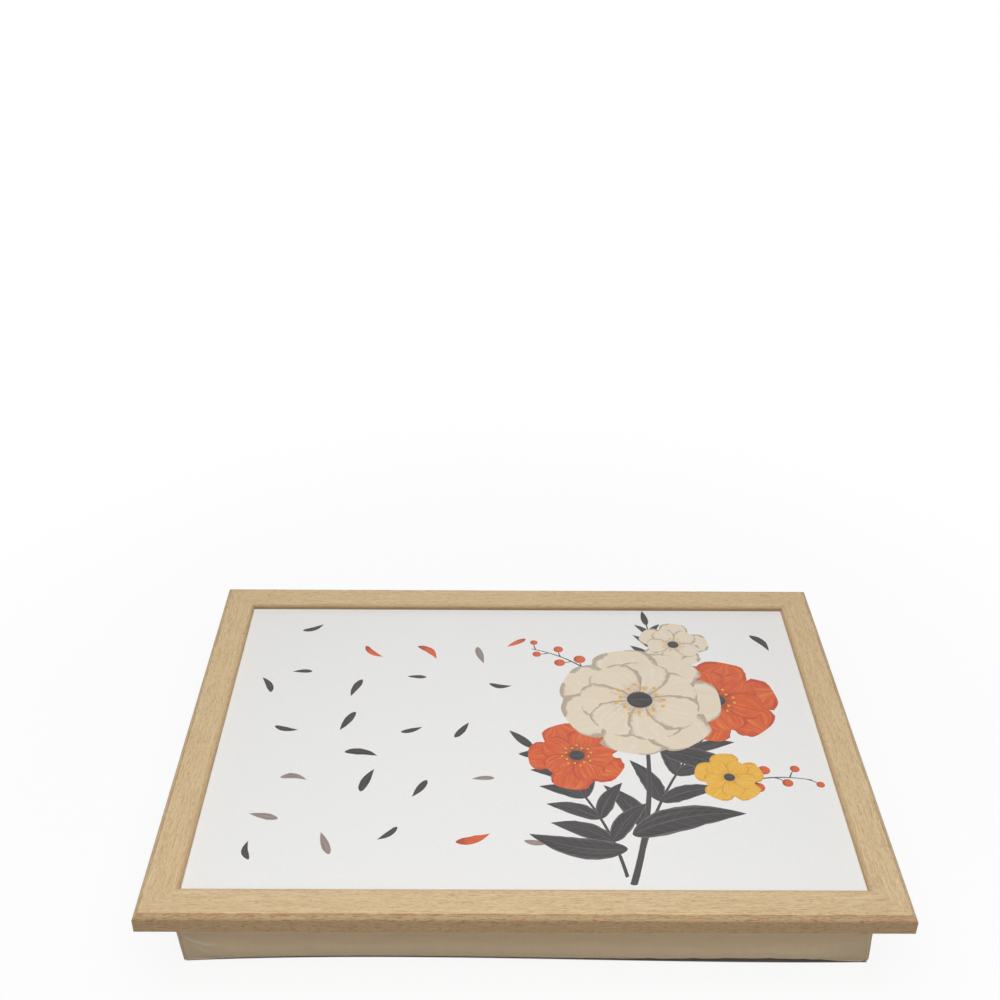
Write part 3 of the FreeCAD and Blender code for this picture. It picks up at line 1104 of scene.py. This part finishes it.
def stitch_mesh(rows):
    """Short thread stitches along straight level rows: (start, end)."""
    threads = bmesh.new()
    for start, end in rows:
        way = (end - start).normalized()
        side = UP.cross(way)
        for number in range(int((end - start).length / STITCH_PITCH)):
            middle = start + way * STITCH_PITCH * (number + 0.5)
            rings = []
            for share, swell in STITCH_RINGS:
                spot = middle + way * STITCH_LONG * share
                rings.append(ring_round(threads, spot, side, UP, STITCH_RADIUS * swell, 5))
            skin(threads, rings)
    return tube_mesh(threads, "tape_stitching")


def between_bodies(piece):
    """Bakes the piece's placement into its mesh."""
    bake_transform(piece)


# Stage

FLOOR_REACH = 12.0
FLOOR_DROP = 0.0004

# Distance from the middle over which the floor turns white, and from the cushion over which its gap ends
GLOW_RANGE = (0.24, 0.60)
GAP_RANGE = (0.0002, 0.0008)

# Place, target and width of each light
LIGHTS = {
    "key": ((-0.02, -0.20, 0.88), (-0.01, -0.14, 0.05), 1.1),
    "fill": ((0.05, -1.2, 0.85), (0, -0.14, 0.03), 0.8),
    "rear": ((0, 1.2, 0.62), (0, 0.14, 0.03), 0.8),
}

CAMERA_SPOT = (-0.02098, -0.67101, CAD_BOUNDS[1][2] + 0.58132)
CAMERA_PITCH = 0.5437
CAMERA_YAW = -0.0085
CAMERA_ROLL = -0.0095
SENSOR_MM = 36


def seen_directly(build):
    """1 for rays that show the background itself: from the camera, or off gloss or through glass."""
    path = build.add("LightPath")
    mirror = build.maths("MAXIMUM", path["Is Glossy Ray"], path["Is Transmission Ray"])
    return build.maths("MAXIMUM", path["Is Camera Ray"], mirror)


def past_edge(build, across, along, reach, half, drawn, skew):
    """How far a floor point lies past one of the cushion's base seams, drawn in between its corners."""
    share = build.maths("DIVIDE", along, half)
    bow = build.maths("MAXIMUM", build.minus(1.0, build.times(share, share)), 0.0)
    bow = build.times(bow, build.minus(drawn, build.times(share, drawn * skew)))
    return build.minus(build.maths("ADD", build.maths("ABSOLUTE", across), bow), reach)


def floor_finish(name, stage, soft):
    """A matt floor that is seen white, with a painted shadow in the gap under the cushion, and a soft shadow
    round it.
    """
    finish = Finish(name)
    spot = finish.place()
    seen = seen_directly(finish)
    fleck = finish.flecks(FLOOR_FLECKS, stage.floor, dimmed(stage.floor, 0.985))
    away = finish.add("VectorMath", {0: spot}, operation="LENGTH")["Value"]
    half_x, half_y, _ = cushion_sizes(soft)
    middle, half_base = base_ends(soft)
    x, y, _ = finish.split(spot)
    x = finish.minus(x, middle)
    ends = past_edge(finish, x, y, half_base - 0.5 * soft.corner_round, half_y, soft.drawn_in, 0.0)
    sides = past_edge(finish, y, x, half_y, half_x, soft.drawn_in, soft.skew)
    open_floor = finish.ramp(away, *GLOW_RANGE, stage.floor_glow, 1.0)
    clear = finish.ramp(finish.maths("MAXIMUM", ends, sides), *GAP_RANGE)
    glow = finish.times(seen, open_floor, clear)
    # Painted shadow: seen from the camera, the floor takes the darker gap colour under the cushion's edges.
    base = finish.mix(seen, stage.bounce, finish.mix(clear, stage.gap, fleck["Color"]))
    return finish.done(
        Base_Color=finish.mix(glow, base, BLACK),
        Roughness=0.9,
        Emission_Color=finish.mix(glow, BLACK, WHITE),
        Emission_Strength=1.0,
        Specular_IOR_Level=0.0,
    )


def studio(ambient):
    """A world that is seen white and gives less light than it shows."""
    world = bpy.data.worlds.new("Studio")
    world.use_nodes = True
    build = Nodes(world.node_tree)
    lit = build.add("Background", {"Color": WHITE, "Strength": ambient})[0]
    seen = build.add("Background", {"Color": WHITE, "Strength": 1.0})[0]
    chosen = build.add("MixShader", {0: seen_directly(build), 1: lit, 2: seen})[0]
    build.feed(build.tree.nodes["World Output"].inputs["Surface"], chosen)
    return world


def lamp(name, spot, target, power, size):
    """A square soft light, turned to a target."""
    data = bpy.data.lights.new(name, "AREA")
    data.energy = power
    data.shape = "SQUARE"
    data.size = size
    light = bpy.data.objects.new(name, data)
    light.location = spot
    light.rotation_euler = (Vector(target) - Vector(spot)).to_track_quat("-Z", "Y").to_euler()
    bpy.context.scene.collection.objects.link(light)


def view_from(spot, pitch, yaw, roll):
    """A camera matrix from its place and angles: pitch below the horizon, yaw to the left, roll."""
    right = Vector((math.cos(yaw), math.sin(yaw), 0))
    level = Vector((-math.sin(yaw), math.cos(yaw), 0))
    ahead = level * math.cos(pitch) - UP * math.sin(pitch)
    down = ahead.cross(right)
    across = right * math.cos(roll) + down * math.sin(roll)
    up = right * math.sin(roll) - down * math.cos(roll)
    turn = Matrix((across, up, -ahead)).transposed()
    return Matrix.Translation(spot) @ turn.to_4x4()


# Operators


class LAPTRAY_OT_rails(bpy.types.Operator):
    """Give the four frame rails their wood-effect finish"""

    bl_idname = "laptray.rails"
    bl_label = "Finish the Rails"

    def execute(self, context):
        wood = context.scene.lap_tray.wood
        along = rail_finish("Rail foil, long sides", wood, False)
        across = rail_finish("Rail foil, short sides", wood, True)
        for side in SIDES:
            dress("rail_" + side, along if side in ("front", "back") else across)
        return {"FINISHED"}


class LAPTRAY_OT_board(bpy.types.Operator):
    """Finish the board's core and backing, and the steel that holds the frame and board"""

    bl_idname = "laptray.board"
    bl_label = "Finish the Board"

    def execute(self, context):
        fibre = (0.36, 0.24, 0.14, 1), (0.47, 0.33, 0.20, 1)
        backing = (0.66, 0.64, 0.60, 1), (0.74, 0.72, 0.68, 1)
        zinc = (0.42, 0.42, 0.43, 1), (0.62, 0.62, 0.63, 1)
        dress("core_board", fleck_finish("Fibreboard", *fibre, 900, 0.00005, 0.85))
        dress("backing_laminate", fleck_finish("Backing paper", *backing, 500, 0.00002, 0.6))
        steel = fleck_finish("Zinc steel", *zinc, 1200, 0.00001, 0.38, 1.0)
        dress("corner_nails", steel)
        dress("framer_points", steel)
        return {"FINISHED"}


class LAPTRAY_OT_face(bpy.types.Operator):
    """Build the printed face of the board"""

    bl_idname = "laptray.face"
    bl_label = "Print the Face"

    def execute(self, context):
        inks = context.scene.lap_tray.print
        paper = tuple(inks.paper)
        low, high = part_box("face_laminate")
        half_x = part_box("rail_right")[0].x / MM - DRIFT_MARGIN_X
        half_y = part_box("rail_back")[0].y / MM - DRIFT_MARGIN_Y
        shapes = drift(inks.scatter, inks.seed, half_x, half_y) + spray()
        finishes = {"paper": paper_finish("Print ground", paper)}
        for ink, look in INK_LOOKS.items():
            finishes[ink] = ink_finish("Print " + ink, paper, getattr(inks, ink), look)
        sheet = new_piece("printed_face", printed_mesh(shapes, list(finishes), low, high), finishes.values())
        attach(sheet, "tray")
        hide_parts("face_laminate")
        return {"FINISHED"}


class LAPTRAY_OT_tapes(bpy.types.Operator):
    """Finish the hook and loop tapes, and sew the loop tapes to the cushion"""

    bl_idname = "laptray.tapes"
    bl_label = "Finish the Tapes"

    def execute(self, context):
        hook = dotted_finish("Hook tape", (0.70, 0.66, 0.57, 1), (0.60, 0.56, 0.47, 1), 0.0011, 0.0004)
        loop = dotted_finish("Loop tape", (0.76, 0.72, 0.63, 1), (0.66, 0.61, 0.52, 1), 0.0005, 0.0002)
        sewing = (0.62, 0.52, 0.36, 1), (0.78, 0.69, 0.52, 1)
        rows = []
        for side in SIDES:
            dress("hook_tape_" + side, hook)
            dress("loop_tape_" + side, loop)
            low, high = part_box("loop_tape_" + side)
            left, right = low.x + STITCH_MARGIN, high.x - STITCH_MARGIN
            near, far = low.y + STITCH_MARGIN, high.y - STITCH_MARGIN
            plan = ((left, near), (right, near), (right, far), (left, far))
            corners = [Vector((x, y, high.z - STITCH_SUNK)) for x, y in plan]
            rows += zip(corners, corners[1:] + corners[:1])
        thread = fleck_finish("Sewing thread", *sewing, 2500, 0.00005, 0.75)
        stitching = new_piece("tape_stitching", stitch_mesh(rows), [thread])
        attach(stitching, "cushion_top")
        return {"FINISHED"}


class LAPTRAY_OT_cushion(bpy.types.Operator):
    """Build the soft cushion: its filled cover, seams and inner bag"""

    bl_idname = "laptray.cushion"
    bl_label = "Build the Cushion"

    def execute(self, context):
        soft = context.scene.lap_tray.cushion
        mesh, seams, posts = cloth_box(soft)
        cover = new_piece("cushion_cover", mesh, [cloth_finish("Cover cloth", soft)])
        draw_in(mesh, soft)
        simulate(cover, soft, sum(seams, []))
        settle(mesh, soft)
        spots = [Vector(p) for p in read_points(mesh)]
        inner = mesh.copy()
        lines = [([spots[i] for i in ring], soft.seam_radius, True) for ring in seams]
        for post in posts:
            closing = spots[post[0]].x > 0 > spots[post[0]].y
            shift, share = (CLOSING_SHIFT, CLOSING_SHARE) if closing else (Vector(ORIGIN), POST_SHARE)
            lines.append(([spots[i] + shift for i in post], share * soft.seam_radius, False))
        smoothed(cover, seams + posts)
        fold(cover.data, soft)
        ridge = new_piece("cushion_seams", seam_mesh(lines), [seam_finish("Seam cloth", soft)])
        for piece in (cover, ridge):
            settle(piece.data, soft)
            hang(piece.data, soft)
        normals = np.array([v.normal for v in inner.vertices])
        write_points(inner, read_points(inner) - BAG_INSET * normals)
        inner.materials.clear()
        lining = fleck_finish("Bag cloth", soft.bag, dimmed(soft.bag, 0.9), 1500, 0.00005, 0.9)
        bag = new_piece("bead_bag", inner, [lining])
        hang(inner, soft)
        for piece in (cover, ridge, bag):
            between_bodies(piece)
        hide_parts("cover_top", "cover_base", *("gusset_" + side for side in SIDES))
        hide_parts("inner_bag", "bead_fill")
        return {"FINISHED"}


class LAPTRAY_OT_stage(bpy.types.Operator):
    """Set the floor, lights, world and camera"""

    bl_idname = "laptray.stage"
    bl_label = "Set the Stage"

    def execute(self, context):
        scene = context.scene
        stage = scene.lap_tray.stage
        scene.view_settings.view_transform = "Standard"
        plane = bpy.data.meshes.new("floor")
        corners = [(FLOOR_REACH * x, FLOOR_REACH * y, 0) for x, y in ((-1, -1), (1, -1), (1, 1), (-1, 1))]
        plane.from_pydata(corners, [], [range(4)])
        floor = new_piece("floor", plane, [floor_finish("Pale floor", stage, scene.lap_tray.cushion)])
        floor.location.z = -FLOOR_DROP
        scene.world = studio(stage.ambient)
        for name, (spot, target, size) in LIGHTS.items():
            lamp(name, spot, target, getattr(stage, name + "_power"), size)
        camera = bpy.data.objects.new("camera", bpy.data.cameras.new("camera"))
        camera.data.lens = stage.lens
        camera.data.sensor_width = SENSOR_MM
        camera.data.clip_start = 0.01
        camera.matrix_world = view_from(CAMERA_SPOT, CAMERA_PITCH, CAMERA_YAW, CAMERA_ROLL)
        scene.collection.objects.link(camera)
        scene.camera = camera
        return {"FINISHED"}


class LAPTRAY_PT_panel(bpy.types.Panel):
    """Sidebar panel with the tray's settings and steps"""

    bl_idname = "LAPTRAY_PT_panel"
    bl_label = "Lap Tray"
    bl_space_type = "VIEW_3D"
    bl_region_type = "UI"
    bl_category = "Lap Tray"

    def draw(self, context):
        tray = context.scene.lap_tray
        groups = (
            ("Rails", tray.wood, "laptray.rails"),
            ("Board", None, "laptray.board"),
            ("Printed face", tray.print, "laptray.face"),
            ("Tapes", None, "laptray.tapes"),
            ("Cushion", tray.cushion, "laptray.cushion"),
            ("Stage", tray.stage, "laptray.stage"),
        )
        for title, settings, step in groups:
            column = self.layout.box().column()
            column.label(text=title)
            if settings:
                for key in settings.bl_rna.properties.keys():
                    if key not in ("rna_type", "name"):
                        column.prop(settings, key)
            column.operator(step)


CLASSES = (
    WoodSettings,
    PrintSettings,
    CushionSettings,
    StageSettings,
    TraySettings,
    LAPTRAY_OT_rails,
    LAPTRAY_OT_board,
    LAPTRAY_OT_face,
    LAPTRAY_OT_tapes,
    LAPTRAY_OT_cushion,
    LAPTRAY_OT_stage,
    LAPTRAY_PT_panel,
)


def register():
    for each in CLASSES:
        bpy.utils.register_class(each)
    bpy.types.Scene.lap_tray = PointerProperty(type=TraySettings)


def unregister():
    del bpy.types.Scene.lap_tray
    for each in reversed(CLASSES):
        bpy.utils.unregister_class(each)


def main():
    register()
    bpy.ops.laptray.rails()
    bpy.ops.laptray.board()
    bpy.ops.laptray.face()
    bpy.ops.laptray.tapes()
    bpy.ops.laptray.cushion()
    bpy.ops.laptray.stage()


if __name__ == "__main__":
    main()
